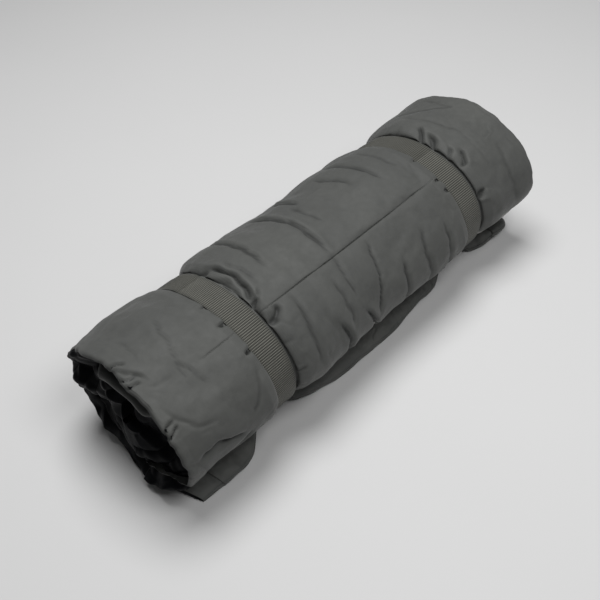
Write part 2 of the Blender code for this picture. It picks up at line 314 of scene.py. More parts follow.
def lean(x, theta, held):
    """How far the sides of a strap's groove lean over it, as a shift along the roll."""
    risen = 1 - held
    share = ramp(risen, 0.12, 0.5) * (1 - ramp(risen, 0.55, 1.0)) * (1 - at_buckle(theta))
    shift = np.zeros(share.shape)
    for end in ENDS:
        for side, reach in OVERHANG.items():
            here = (side * (x - STRAP_X[end]) > 0) & (abs(x - STRAP_X[end]) < 0.05)
            shift -= side * reach * share * here
    return shift


def roll_points(x, theta, raised):
    """Points of the cover's outer face. raised is in metres along the normal."""
    held = strap_share(x, theta)
    swell = (1 - held) * smooth_curve(SWELL, x) + held * UNDER_STRAP
    half_y = swell * HALF_DEPTH
    half_z = swell * HALF_HEIGHT
    beyond = ramp(x, 0.212, 0.235) * (1 - 0.5 * ramp(x, 0.27, 0.33))
    dive = (TUCK_DEPTH + FAR_TUCK * beyond) * ramp(theta, *TUCK)
    dive = dive - FOOT_DEPTH * np.exp(-abs(theta - FOOT) / 0.13) * ramp(-x, 0.27, 0.335)
    normal = np.stack([np.sin(theta) / half_y, -np.cos(theta) / half_z])
    normal /= np.linalg.norm(normal, axis=0)
    y = half_y * np.sin(theta) + (raised - dive) * normal[0]
    z = -half_z * np.cos(theta) + (raised - dive) * normal[1]
    limit, ease = back_limit(x), 0.004
    y = np.where(y > limit - ease, limit - ease * np.exp(-np.maximum(y - limit + ease, 0) / ease), y)
    z = np.maximum(z, -AXIS_Z + FLOOR_GAP + held * STRAP_LIFT)
    return np.stack([x + lean(x, theta, held), y, z + AXIS_Z], -1)


def cover_height(x, theta):
    """The cover's folds, puckers and swellings, in metres outwards."""
    s = theta * ARC
    folds = Folds(x, s)
    for fold in LONG_FOLDS:
        folds.crease(*fold)
    strap_gathers(folds)
    end_pleats(folds)
    x, s = folds.x, folds.s
    soft = 0.0012 * ripple(x, s, 3, 0.11, 0.12) + 0.0005 * ripple(x, s, 5, 0.036, 0.16)
    soft += 0.00012 * ripple(x, s, 8, 0.016, 0.024)
    drawn = ramp(ripple(x, s, 12, 0.1, 0.14), 0.1, 1.5)
    faint = 0.0012 * drawn * creased(ripple(x, s, 11, 0.05, 0.2), 0.13)
    fine = 0.0003 * creased(ripple(x, s, 14, 0.026, 0.09), 0.09)
    patches = ramp(ripple(x, s, 17, 0.07, 0.07), 0.3, 1.3)
    fine += 0.0006 * patches * creased(ripple(x, s, 16, 0.045, 0.045), 0.08)
    free = 1 - strap_share(x, theta + 0 * x)
    sewn = ramp(x, -0.262, -0.24) * (1 - ramp(x, 0.185, 0.205))
    seam = (s - SEAM * ARC) / 0.0008
    groove = sewn * (-0.0008 * np.exp(-(seam**2)) - 0.0003 * np.exp(-((seam / 9) ** 2)))
    puckers = 0.0002 * np.sin(x / 0.0026 + 2 * ripple(x, 0 * s, 21, 0.03, 1)) * np.exp(-((seam / 6) ** 2))
    return (folds.height + soft + faint + fine + groove + puckers) * np.clip(free * 3, 0, 1)


# The long folds between and beside the straps: path, width, depth, and how high the bank is for the depth
LONG_FOLDS = (
    (((-0.03, 126), (-0.026, 151), (-0.022, 176), (-0.024, 186), (-0.028, 207)), 0.0024, 0.0062, 0.8),
    (((-0.028, 205), (-0.026, 212), (-0.034, 227), (-0.038, 243)), 0.0026, 0.0028),
    (((-0.1, 118), (-0.098, 150), (-0.1, 170), (-0.105, 192)), 0.0028, 0.0046, 0.8),
    (((0.017, 126), (0.019, 160)), 0.0022, 0.0048, 0.8),
    (((0.008, 154), (0.006, 170), (0.009, 186)), 0.003, 0.0022),
    (((0.079, 140), (0.088, 160), (0.093, 176)), 0.0026, 0.003),
    (((0.114, 134), (0.121, 160), (0.124, 192)), 0.0028, 0.0034),
    (((0.154, 150), (0.158, 168), (0.156, 186)), 0.0034, 0.0018),
    (((0.029, 212), (0.023, 225), (0.012, 241), (0.002, 256), (-0.008, 274)), 0.0026, 0.0038),
    (((-0.052, 218), (-0.053, 240), (-0.06, 262)), 0.0048, 0.003),
    (((-0.11, 209), (-0.118, 227), (-0.124, 246), (-0.126, 268)), 0.004, 0.0034),
    (((-0.076, 246), (-0.069, 265), (-0.06, 294)), 0.0026, 0.0062, 0.8),
    (((-0.03, 254), (-0.016, 270), (-0.002, 296)), 0.0026, 0.0066, 0.8),
    (((0.06, 240), (0.052, 262), (0.058, 292)), 0.0036, 0.004),
    (((0.108, 226), (0.098, 250), (0.104, 288)), 0.0042, 0.0034),
    (((0.148, 236), (0.142, 262), (0.15, 292)), 0.0038, 0.0036),
    (((-0.256, 166), (-0.268, 189), (-0.28, 205), (-0.287, 219)), 0.0017, 0.0018, 0.7),
    (((-0.322, 204), (-0.308, 205), (-0.292, 206)), 0.0022, 0.001, 0.7),
    (((-0.278, 203), (-0.272, 213), (-0.268, 222)), 0.0018, 0.0018, 0.7),
    (((-0.306, 165), (-0.304, 180), (-0.312, 194)), 0.005, 0.0016),
    (((-0.342, 182), (-0.328, 188), (-0.322, 194), (-0.317, 201)), 0.0022, 0.0026, 0.8),
    (((-0.33, 219), (-0.321, 228), (-0.307, 240), (-0.281, 244)), 0.0026, 0.0013),
    (((-0.208, 229), (-0.213, 238), (-0.226, 250), (-0.246, 262)), 0.006, 0.0022),
    (((-0.292, 258), (-0.278, 264), (-0.256, 270)), 0.003, 0.0034),
    (((-0.324, 263), (-0.303, 260), (-0.286, 261), (-0.268, 268)), 0.0034, 0.0036),
    (((-0.24, 270), (-0.262, 284), (-0.3, 296)), 0.004, 0.004),
    (((0.276, 138), (0.29, 152), (0.302, 162), (0.315, 174)), 0.0036, 0.0022),
    (((0.323, 144), (0.317, 162), (0.312, 176)), 0.0034, 0.0018),
    (((0.262, 150), (0.268, 176), (0.282, 198)), 0.005, 0.0016),
    (((0.306, 212), (0.296, 240), (0.302, 276)), 0.006, 0.0018),
)


# The folds past each strap, in the same form, with x counted from the strap's far edge
BESIDE_STRAPS = {
    "near": (
        (((0.001, 140), (0.007, 152), (0.009, 163)), 0.0026, 0.006, 0.6),
        (((0.01, 156), (0.017, 168), (0.019, 180), (0.014, 192), (0.006, 205)), 0.0024, 0.0095, 0.5),
        (((0.006, 168), (0.01, 180), (0.008, 190), (0.003, 198)), 0.0017, 0.0052, 0.8),
        (((0.024, 162), (0.029, 178), (0.03, 192)), 0.003, 0.0026, 0.8),
        (((0.012, 200), (0.008, 206), (0.006, 213)), 0.0018, 0.005, 0.7),
        (((0.001, 206), (0.012, 202), (0.024, 198)), 0.0018, 0.0032, 0.7),
        (((0.023, 209), (0.018, 215), (0.008, 222)), 0.0042, 0.0072, 0.4),
        (((-0.001, 261), (0.012, 258)), 0.0016, 0.0032, 0.8),
        (((-0.001, 267), (0.007, 268)), 0.0016, 0.0022, 0.8),
        (((-0.001, 272), (0.009, 275)), 0.0016, 0.0026, 0.8),
    ),
    "far": (
        (((0.003, 146), (0.006, 158), (0.005, 172)), 0.0022, 0.005, 0.7),
        (((0.022, 170), (0.009, 179), (0.001, 185)), 0.0024, 0.007, 0.6),
        (((0.015, 180), (0.011, 188), (0.003, 195)), 0.0024, 0.0064, 0.6),
        (((0.026, 204), (0.02, 210), (0.01, 217)), 0.0026, 0.007, 0.6),
        (((0.016, 198), (0.008, 205), (0.001, 209)), 0.0018, 0.004, 0.8),
        (((0.014, 238), (0.008, 243), (0.002, 247)), 0.0026, 0.0062, 0.6),
    ),
}


def strap_gathers(folds):
    """Folds beside the straps, where the cover's spare width is bunched."""
    random = np.random.default_rng(41)
    half = 0.5 * WEB_WIDTH
    sides = (
        ("near", -1, 0.22, 0.008), ("near", 1, 0.34, 0.01),
        ("far", -1, 0.22, 0.007), ("far", 1, 0.36, 0.01),
    )
    for end, side, strength, length in sides:
        edge = STRAP_X[end] + side * half
        angle = 24.0
        while angle < 306:
            run = length * random.uniform(0.4, 1.6)
            tilt = random.normal(0, 10)
            depth = 0.003 * strength * random.uniform(0.2, 1.25)
            width = random.uniform(0.0018, 0.0036)
            start = (edge - side * 0.002, angle)
            bend = (edge + side * 0.4 * run, angle + 0.3 * tilt)
            stop = (edge + side * run, angle + tilt)
            folds.crease([start, bend, stop], width, depth, lip=0.8, taper=0.5)
            angle += random.uniform(7.0, 26.0)
    for end, side_folds in BESIDE_STRAPS.items():
        edge = STRAP_X[end] + half
        for path, width, depth, bank in side_folds:
            folds.crease([(edge + away, angle) for away, angle in path], width, depth, bank)
    for end, angles in (("near", (182, 200, 223)), ("far", (189.5, 212, 221.5))):
        edge = STRAP_X[end] - half
        for angle in angles:
            folds.crease([(edge - 0.01, angle), (edge - 0.001, angle + 0.5)], 0.0018, 0.009, 0.5, taper=0.1)


def end_pleats(folds):
    """Small pleats where the cover turns in at the roll's two ends."""
    random = np.random.default_rng(77)
    for side, strength in ((-1, 0.3), (1, 0.2)):
        angle = 14.0
        while angle < 318:
            run = random.uniform(0.01, 0.034)
            slant = random.normal(0, 6)
            edge = side * (HALF_LENGTH + 0.002)
            width = random.uniform(0.0022, 0.0046)
            depth = strength * random.uniform(0.0004, 0.0024)
            folds.crease([(edge, angle), (edge - side * run, angle + slant)], width, depth, 0.7, 0.5)
            angle += random.uniform(9, 26)
    for angle, slant in ((177, 5), (188, 7), (196, 4), (231, -4), (237, -6)):
        path = [(-0.343, angle), (-0.331, angle + 0.6 * slant), (-0.323, angle + slant)]
        folds.crease(path, 0.0015, 0.0036, 0.4)


# Meshes


def link(obj):
    bpy.context.scene.collection.objects.link(obj)


def grid_object(name, grids, finish):
    """Smooth sheets over (points, uv) grids, as one object. uv is in metres of cloth."""
    places, quads, cloth, first = [], [], [], 0
    for points, uv in grids:
        rows, columns = points.shape[:2]
        index = first + np.arange(rows * columns).reshape(rows, columns)
        corners = [index[:-1, :-1], index[1:, :-1], index[1:, 1:], index[:-1, 1:]]
        quads.append(np.stack(corners, -1).reshape(-1, 4))
        places.append(points.reshape(-1, 3))
        cloth.append(uv.reshape(-1, 2))
        first += rows * columns
    quads, cloth = np.concatenate(quads), np.concatenate(cloth)
    mesh = bpy.data.meshes.new(name)
    mesh.from_pydata(np.concatenate(places), [], quads)
    layer = mesh.uv_layers.new(name="cloth")
    layer.data.foreach_set("uv", cloth[quads.ravel()].astype(np.float32).ravel())
    mesh.shade_smooth()
    mesh.materials.append(finish)
    obj = bpy.data.objects.new(name, mesh)
    link(obj)
    return obj


def add_values(obj, name, values):
    """Gives each point of a piece a value that its material reads."""
    attribute = obj.data.attributes.new(name, "FLOAT", "POINT")
    attribute.data.foreach_set("value", values.astype(np.float32).ravel())


def joined(*fields):
    """Fields as the coordinates of one grid of points."""
    return np.stack(np.broadcast_arrays(*fields), -1)


def tube_grid(path, profile, sideways):
    """Sweeps a closed (across, out) profile along (y, z) points of a band, and closes both ends."""
    runs = np.gradient(path, axis=0)
    runs /= np.linalg.norm(runs, axis=1)[:, None]
    out = np.stack([runs[:, 1], -runs[:, 0]], 1)
    across, up = np.array(profile).T
    rows = []
    for (y, z), (ny, nz) in zip(path, out):
        rows.append(np.stack([sideways + across, y + up * ny, z + up * nz], 1))
    first, last = rows[0].mean(0), rows[-1].mean(0)
    rows = [np.broadcast_to(first, rows[0].shape)] + rows + [np.broadcast_to(last, rows[0].shape)]
    return np.array(rows)


def closed_columns(points):
    return np.concatenate([points, points[:, :1]], axis=1)


def resized(field, rows, columns):
    """A grid of values or points, read at more or fewer rows and columns."""
    for axis, count in ((0, rows), (1, columns)):
        at = np.linspace(0, field.shape[axis] - 1, count)
        low = np.minimum(at.astype(int), field.shape[axis] - 2)
        share = ramp(at - low, 0, 1).reshape([-1 if i == axis else 1 for i in range(field.ndim)])
        field = np.take(field, low, axis) * (1 - share) + np.take(field, low + 1, axis) * share
    return field


def settled(points, hold):
    """Lets cloth with some slack buckle over its filling, and returns its points. hold is 1 where fast."""
    rows, columns = points.shape[:2]
    plain = bpy.data.materials.new("settling_cloth")
    cloth = grid_object("settling_cloth", [(points, points[..., :2])], plain)
    cloth.shape_key_add(name="fitted")
    loose = cloth.shape_key_add(name="loose")
    larger = (points - [0, 0, AXIS_Z]) * [1 + SLACK[0], 1 + SLACK[1], 1 + SLACK[1]] + [0, 0, AXIS_Z]
    loose.data.foreach_set("co", larger.astype(np.float32).ravel())
    group = cloth.vertex_groups.new(name="hold")
    for i, weight in enumerate(hold.ravel()):
        group.add([i], float(weight), "REPLACE")
    modifier = cloth.modifiers.new("cloth", "CLOTH")
    for name, value in CLOTH.items():
        setattr(modifier.settings, name, value)
    modifier.settings.rest_shape_key = loose
    modifier.settings.effector_weights.gravity = 0
    modifier.collision_settings.use_collision = False
    modifier.point_cache.frame_start = 1
    modifier.point_cache.frame_end = SETTLING_FRAMES
    for step in range(1, SETTLING_FRAMES + 1):
        bpy.context.scene.frame_set(step)
    mesh = cloth.evaluated_get(bpy.context.evaluated_depsgraph_get()).to_mesh()
    moved = np.empty(rows * columns * 3, np.float32)
    mesh.vertices.foreach_get("co", moved)
    bpy.data.objects.remove(cloth)
    bpy.context.scene.frame_set(1)
    return moved.reshape(points.shape)


# Materials


class Finish:
    """A Principled material with short ways to add the nodes that feed it."""

    def __init__(self, name, **fixed):
        self.material = bpy.data.materials.new(name)
        self.material.use_nodes = True
        self.tree = self.material.node_tree
        self.shader = self.tree.nodes["Principled BSDF"]
        self.put(self.shader, {socket.replace("_", " "): value for socket, value in fixed.items()})

    def put(self, node, inputs):
        """Sets or links a node's inputs."""
        for socket, value in inputs.items():
            if isinstance(value, bpy.types.NodeSocket):
                self.tree.links.new(value, node.inputs[socket])
            else:
                node.inputs[socket].default_value = value

    def node(self, kind, inputs, **settings):
        made = self.tree.nodes.new(kind)
        for key, value in settings.items():
            setattr(made, key, value)
        self.put(made, inputs)
        return made

    def feed(self, socket, value):
        self.put(self.shader, {socket: value})

    def cloth_uv(self):
        return self.node("ShaderNodeUVMap", {}, uv_map="cloth").outputs["UV"]

    def place(self):
        return self.node("ShaderNodeTexCoord", {}).outputs["Object"]

    def point_value(self, name):
        return self.node("ShaderNodeAttribute", {}, attribute_name=name).outputs["Fac"]

    def noise(self, vector, scale, detail=3.0):
        inputs = {"Vector": vector, "Scale": scale, "Detail": detail}
        return self.node("ShaderNodeTexNoise", inputs).outputs["Fac"]

    def cells(self, vector, scale):
        inputs = {"Vector": vector, "Scale": scale}
        return self.node("ShaderNodeTexVoronoi", inputs).outputs["Distance"]

    def bands(self, vector, period, direction):
        """Waves from 0 to 1 across one direction, one for each period."""
        inputs = {"Vector": vector, "Scale": 1 / period * pi / 10, "Distortion": 0.0}
        return self.node("ShaderNodeTexWave", inputs, bands_direction=direction).outputs["Fac"]

    def times(self, a, b):
        return self.node("ShaderNodeMath", {0: a, 1: b}, operation="MULTIPLY").outputs[0]

    def weave(self, uv, period):
        """A plain weave: 1 where a thread comes to the top."""
        return self.times(self.bands(uv, period, "X"), self.bands(uv, period, "Y"))

    def scaled(self, value, low, high, into_low, into_high):
        inputs = {"Value": value, 1: low, 2: high, 3: into_low, 4: into_high}
        return self.node("ShaderNodeMapRange", inputs).outputs["Result"]

    def mottle(self, vector, scale, low=0, high=1, detail=3.0):
        """Noise stretched to run from low to high."""
        return self.scaled(self.noise(vector, scale, detail), 0.3, 0.7, low, high)

    def mix(self, share, a, b):
        return self.node("ShaderNodeMix", {0: share, 6: a, 7: b}, data_type="RGBA").outputs[2]

    def bump(self, height, distance, strength, under=None):
        """Relief on top of the relief that under holds."""
        inputs = {"Height": height, "Distance": distance, "Strength": strength}
        if under is not None:
            inputs["Normal"] = under
        return self.node("ShaderNodeBump", inputs).outputs["Normal"]


def grey(r, g, b):
    return (r, g, b, 1.0)


def face_cloth():
    """Charcoal plain-weave cloth: soft mottling, painted shade in the folds, a painted highlight on their
    ridges, a few specks of lint.
    """
    f = Finish("charcoal_cloth", Sheen_Weight=0.1, Sheen_Roughness=0.45, Specular_IOR_Level=0.3)
    uv, place = f.cloth_uv(), f.place()
    base = f.mix(f.mottle(place, 9.0), grey(0.066, 0.068, 0.065), grey(0.082, 0.084, 0.079))
    blotches = f.scaled(f.noise(place, 130.0, 4.0), 0.35, 0.65, 0, 0.3)
    mottled = f.mix(blotches, base, grey(0.052, 0.054, 0.051))
    threads = f.weave(uv, 0.0011)
    woven = f.mix(f.scaled(threads, 0, 1, 0, 0.2), mottled, grey(0.115, 0.118, 0.111))
    depth = f.point_value("fold")
    # Painted shade: darkened where the fold value is low, in creases, on the turned-in rims and over the
    # inner turns.
    painted_crease_shade = f.mix(f.scaled(depth, -0.0026, -0.0002, 0.7, 0), woven, grey(0.016, 0.017, 0.016))
    # Painted highlight: lightened where the fold value is high, on the fold ridges.
    painted_ridge_light = f.mix(f.scaled(depth, 0.0006, 0.003, 0, 0.18), painted_crease_shade, grey(0.12, 0.123, 0.117))
    sparse = f.scaled(f.noise(place, 23.0, 1.0), 0.62, 0.66, 0, 1)
    lint = f.times(f.scaled(f.cells(place, 55.0), 0.012, 0.03, 1, 0), sparse)
    f.feed("Base Color", f.mix(f.times(lint, 0.4), painted_ridge_light, grey(0.26, 0.26, 0.25)))
    f.feed("Roughness", f.mottle(place, 60.0, 0.6, 0.74))
    rumple = f.bump(f.noise(place, 38.0, 4.0), 0.0022, 0.25)
    crumple = f.bump(f.noise(place, 160.0, 5.0), 0.0006, 0.35, rumple)
    f.feed("Normal", f.bump(threads, 0.00018, 0.5, crumple))
    return f.material


def side_cloth():
    """Thin black cloth with a slight shine, crumpled."""
    f = Finish("black_cloth", Specular_IOR_Level=0.07)
    place = f.place()
    base = f.mix(f.noise(place, 30.0), grey(0.0012, 0.0014, 0.002), grey(0.004, 0.0043, 0.0055))
    f.feed("Base Color", base)
    f.feed("Roughness", f.mottle(place, 70.0, 0.4, 0.56))
    crumple = f.bump(f.noise(place, 60.0, 4.0), 0.001, 0.4)
    f.feed("Normal", f.bump(f.weave(f.cloth_uv(), 0.0009), 0.0001, 0.4, crumple))
    return f.material


def webbing():
    """Olive-grey ribbed webbing: painted shade between the ribs, a painted highlight on the thread tops,
    darker edges and tail, slightly fuzzy.
    """
    f = Finish("olive_grey_webbing", Sheen_Weight=0.15, Sheen_Roughness=0.5, Specular_IOR_Level=0.25)
    uv, place = f.cloth_uv(), f.place()
    columns, ribs = f.bands(uv, 0.0019, "X"), f.bands(uv, RIB, "Y")
    tops = f.times(columns, ribs)
    tone = f.mix(f.mottle(place, 35.0), grey(0.082, 0.083, 0.071), grey(0.118, 0.118, 0.101))
    # Painted shade in the grooves between the ribs and a painted highlight on the thread tops; the darker
    # stripes between thread columns are the webbing's two-tone weave.
    tone = f.mix(f.scaled(ribs, 0.15, 0.75, 0.92, 0), tone, grey(0.018, 0.018, 0.015))
    tone = f.mix(f.scaled(columns, 0.1, 0.6, 0.55, 0), tone, grey(0.022, 0.022, 0.019))
    tone = f.mix(f.scaled(tops, 0.25, 0.9, 0, 0.85), tone, grey(0.215, 0.212, 0.185))
    tone = f.mix(f.times(f.point_value("tail"), 0.42), tone, grey(0.034, 0.034, 0.028))
    tone = f.mix(f.times(f.point_value("edge"), 0.55), tone, grey(0.04, 0.041, 0.036))
    f.feed("Base Color", tone)
    f.feed("Roughness", f.mottle(place, 220.0, 0.62, 0.85))
    f.feed("Normal", f.bump(tops, 0.0004, 0.7, f.bump(f.noise(place, 900.0), 0.0002, 0.4)))
    return f.material


def thread():
    """Twisted sewing thread."""
    f = Finish("charcoal_thread", Sheen_Weight=0.1, Specular_IOR_Level=0.4)
    place = f.place()
    f.feed("Base Color", f.mix(f.noise(place, 400.0), grey(0.07, 0.072, 0.068), grey(0.15, 0.152, 0.145)))
    f.feed("Roughness", f.mottle(place, 300.0, 0.45, 0.65))
    f.feed("Normal", f.bump(f.noise(place, 2500.0), 0.0001, 0.6))
    return f.material


def plastic():
    """Black moulded plastic: fine spark texture, slightly scuffed."""
    f = Finish("black_plastic", Specular_IOR_Level=0.5)
    place = f.place()
    scuffs = f.scaled(f.noise(place, 60.0, 6.0), 0.55, 0.75, 0, 0.5)
    f.feed("Base Color", f.mix(scuffs, grey(0.012, 0.012, 0.013), grey(0.038, 0.038, 0.038)))
    f.feed("Roughness", f.mottle(place, 90.0, 0.34, 0.52, detail=5.0))
    f.feed("Normal", f.bump(f.noise(place, 1600.0, 2.0), 0.00008, 0.5))
    return f.material


def foam():
    """Open-cell foam."""
    f = Finish("grey_foam", Specular_IOR_Level=0.15)
    cells = f.cells(f.place(), 700.0)
    f.feed("Base Color", f.mix(cells, grey(0.16, 0.16, 0.155), grey(0.4, 0.4, 0.385)))
    f.feed("Roughness", f.scaled(cells, 0, 1, 0.95, 0.8))
    f.feed("Normal", f.bump(cells, 0.0006, 0.8))
    return f.material


# The pad's pieces


def place_piece(obj, slot, *nodes):
    """Puts a piece on the roll in place of its CAD nodes. slot is not used."""
    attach(obj, "root")
    if nodes:
        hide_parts(*nodes)


def graded(low, high, count, density):
    """count places from low to high, closer together where density(place) is larger."""
    even = np.linspace(low, high, 4000)
    total = np.concatenate([[0], np.cumsum(density(0.5 * (even[1:] + even[:-1])))])
    return np.interp(np.linspace(0, total[-1], count), total, even)


def rim_rows(count):
    """(x, metres inwards) of the cover's rows: turned in round each end, and closest beside the straps."""
    turn = np.linspace(RIM_TURN, 0, 9)[:-1]
    near_x = -HALF_LENGTH + RIM_RADIUS * (1 - np.sin(turn))
    near_in = RIM_RADIUS * (1 - np.cos(turn))

    def density(x):
        return 1 + 1.3 * pinch(x, (0.03, 0.055)) + 0.6 * (abs(x) > 0.31)

    middle = graded(-HALF_LENGTH + RIM_RADIUS, HALF_LENGTH - RIM_RADIUS, count, density)
    x = np.concatenate([near_x, middle, -near_x[::-1]])
    return x, np.concatenate([near_in, 0 * middle, near_in[::-1]])


def body_columns(count):
    """Angles of the cover's columns: closer together from the top onwards, and closest at the seam."""

    def density(angle):
        return 1 + 0.8 * ramp(angle, 1.9, 2.3) + 5 * np.exp(-(((angle - SEAM) / 0.02) ** 2))

    return graded(*BODY, count, density)


def rim_shift(side, theta):
    """How far an end of the roll stands out past the half length."""
    ragged = 0.0018 * ripple(0 * theta, theta * ARC, 52 + side, 1, 0.06)
    ragged += (0.0006 if side < 0 else 0.0003) * ripple(0 * theta, theta * ARC, 58 + side, 1, 0.013)
    return smooth_curve(RIM[side], np.degrees(theta)) + ragged


def tongue_reach(x):
    """The y of the free end's tip. The free end is the tongue that lies out along the floor."""
    return smooth_curve(REACH, x)


def tongue_x(x, share):
    """The free end narrows a little at its near corner. share is 0 at its tip and 1 under the roll."""
    corner = 0.017 * (1 - share) ** 1.3 * ramp(-x, 0.24, HALF_LENGTH)
    return x + corner - 0.004 * np.sign(x) * (abs(x) > 0.3)


def tongue_floor(x, y):
    """Height of the free end's underside: on the floor, or pulled up round the roll by a strap."""
    held = pinch(x, (0.016, 0.05))
    curve = np.sqrt(np.clip(1 - (y / (CINCH * HALF_DEPTH)) ** 2, 0, 1))
    lift = AXIS_Z - CINCH * HALF_HEIGHT * curve
    root = -0.045
    edge = np.clip((y - root) / (tongue_reach(x) - root), 0, 1)
    loose = 0.0018 * edge**2 * (1 + ripple(x, 0 * y, 31, 0.05, 1))
    loose = loose + 0.011 * edge**2 * ramp(x, 0.265, 0.33)
    return FLOOR_GAP + held * lift + (1 - held) * np.maximum(loose, 0)


def tongue_thickness(x, share):
    """share is 0 at the tip and 1 where the free end goes under the roll."""
    full = 0.018 - 0.005 * pinch(x, (0.02, 0.04)) + 0.006 * ramp(x, 0.25, 0.31)
    puffy = 1 + 0.1 * ripple(x, 0 * share, 33, 0.045, 1)
    ends = 1 - 0.35 * ramp(abs(x), HALF_LENGTH - 0.016, HALF_LENGTH)
    return full * puffy * ends * (0.28 + 0.72 * np.sqrt(np.clip(1 - (1 - share) ** 2, 0, 1)))


def hem_points(x, count=9):
    """The outer panel's hem, rolled up round the free end's tip."""
    tip = tongue_reach(x)
    turn = np.linspace(radians(110), radians(-90), count)[None, :]
    y = tip + HEM_RADIUS * (1 - np.cos(turn))
    z = tongue_floor(x, tip) + HEM_RADIUS * (1 + np.sin(turn))
    return joined(tongue_x(x, 0.0), y, z)


def settling(body, x, theta):
    """How far each point of the cover moves as it settles, worked out on a coarser cloth."""
    held = np.maximum(strap_share(x, theta), ramp(abs(x), HALF_LENGTH - 0.02, HALF_LENGTH - 0.008))
    held = np.maximum(held, 1 - ramp(theta, 0.1, 0.5) * (1 - ramp(theta, 5.35, 5.6)))
    rows, columns = body.shape[:2]
    size = int(COARSE * rows), int(COARSE * columns)
    coarse = resized(body, *size)
    hold = resized(LOOSEST + (1 - LOOSEST) * held, *size)
    return resized(settled(coarse, hold) - coarse, rows, columns)


def build_outer_cover(finish, rows=300, columns=278):
    """The outer face of the free end and of the outermost turn. Returns x and the points of its seam."""
    x, inwards = rim_rows(rows)
    x, inwards = x[:, None], inwards[:, None]
    theta = body_columns(columns)[None, :]
    height = cover_height(x, theta)
    end_share = ramp(abs(x), HALF_LENGTH - 0.06, HALF_LENGTH)
    body = roll_points(x, theta, height - inwards)
    body += settling(body, x, theta)
    shift = np.where(x < 0, -rim_shift(-1, theta), rim_shift(1, theta))
    body[..., 0] += end_share * shift * ramp(theta, -0.1, 0.4)
    share = np.linspace(0, 1, 26)[None, 1:-1]
    tip = tongue_reach(x)
    y = tip + HEM_RADIUS + share * (body[:, :1, 1] - tip - HEM_RADIUS)
    under = joined(tongue_x(x, share), y, tongue_floor(x, y))
    hem = hem_points(x)
    points = np.concatenate([hem, under, body], axis=1)
    uv = joined(x, lengths_along(points[len(x) // 2])[None, :])
    cover = grid_object("outer_cover", [(points, uv)], finish)
    low = np.zeros((len(x), hem.shape[1] + under.shape[1]))
    # Fold values for the cloth: painted shade in the creases and on the turned-in rims, a painted highlight
    # on the ridges.
    shade = height - blurred(height, 14) - 0.0026 * ramp(inwards, 0.0004, 0.0032)
    add_values(cover, "fold", np.concatenate([low, shade], axis=1))
    place_piece(cover, "face_cloth", "outer_face_panel")
    return x[:, 0], np.array([points_at(row, theta[0], SEAM) for row in body])


def build_inner_cover(finish, rows=300, columns=44):
    """The pad's other face, seen on top of the free end."""
    x = np.linspace(-HALF_LENGTH, HALF_LENGTH, rows)[:, None]
    share = np.linspace(0, 1, columns)[None, :] ** 1.6
    tip = tongue_reach(x) + 0.0016
    y = tip + share * (UNDER_ROLL - tip)
    height = 0.0008 * ripple(x, y, 62, 0.03, 0.06) + 0.0003 * ripple(x, y, 63, 0.012, 0.02)
    patches = ramp(ripple(x, y, 64, 0.07, 0.07), 0, 1.5)
    height += 0.0012 * patches * creased(ripple(x, y, 61, 0.035, 0.035), 0.15)
    z = tongue_floor(x, y) + tongue_thickness(x, share) + height * ramp(share, 0, 0.15)
    points = joined(tongue_x(x, share), y, z)
    cover = grid_object("inner_cover", [(points, points[..., :2])], finish)
    # Fold values for the cloth: painted shade in the creases, a painted highlight on the ridges.
    add_values(cover, "fold", height)
    place_piece(cover, "face_cloth", "inner_face_panel")


def build_free_end(finish, rows=300):
    """The black end wall, folded in between the two hems of the free end."""
    x = np.linspace(-HALF_LENGTH, HALF_LENGTH, rows)[:, None]
    tip = tongue_reach(x)
    share = np.linspace(0, 1, 7)[None, :]
    low = tongue_floor(x, tip) + 0.003
    high = tongue_floor(x, tip) + tongue_thickness(x, 0.0)
    y = tip + 0.0024 + 0.0012 * np.sin(pi * share) - 0.0006 * share
    points = joined(tongue_x(x, 0.0), y, low + share * (high - low))
    wall = grid_object("free_end_fold", [(points, joined(x, 0.012 * share))], finish)
    place_piece(wall, "side_cloth", "free_end_wall")


def spiral(theta):
    """How many turns deep the pad's outer face is, at an angle from the start of the outermost turn."""
    first = 0.96 * ramp(theta, radians(300), 2 * pi)
    return np.where(theta < 2 * pi, first, theta / (2 * pi))


def spiral_edge(x, theta, depth):
    """(y, z) on the spiral, this far under its outer face."""
    inward = spiral(theta)
    swell = smooth_curve(SWELL, x)
    half_y = swell * (HALF_DEPTH - inward * PITCH[0]) - depth
    half_z = swell * (HALF_HEIGHT - inward * PITCH[1]) - depth
    z = np.maximum(-half_z * np.cos(theta), -AXIS_Z + inward * PITCH[1] + depth)
    return half_y * np.sin(theta), z + AXIS_Z


def crumpled(y, z, seed):
    """Crushed cloth: broad slopes that meet in sharp valleys and ridges, about 1 high."""
    large = np.hypot(ripple(y, z, seed + 2, 0.1, 0.07), 0.08)
    small = np.hypot(ripple(y, z, seed + 3, 0.05, 0.036), 0.06)
    return 0.9 * large - 0.5 * small


WALL_SHARE = 0.945


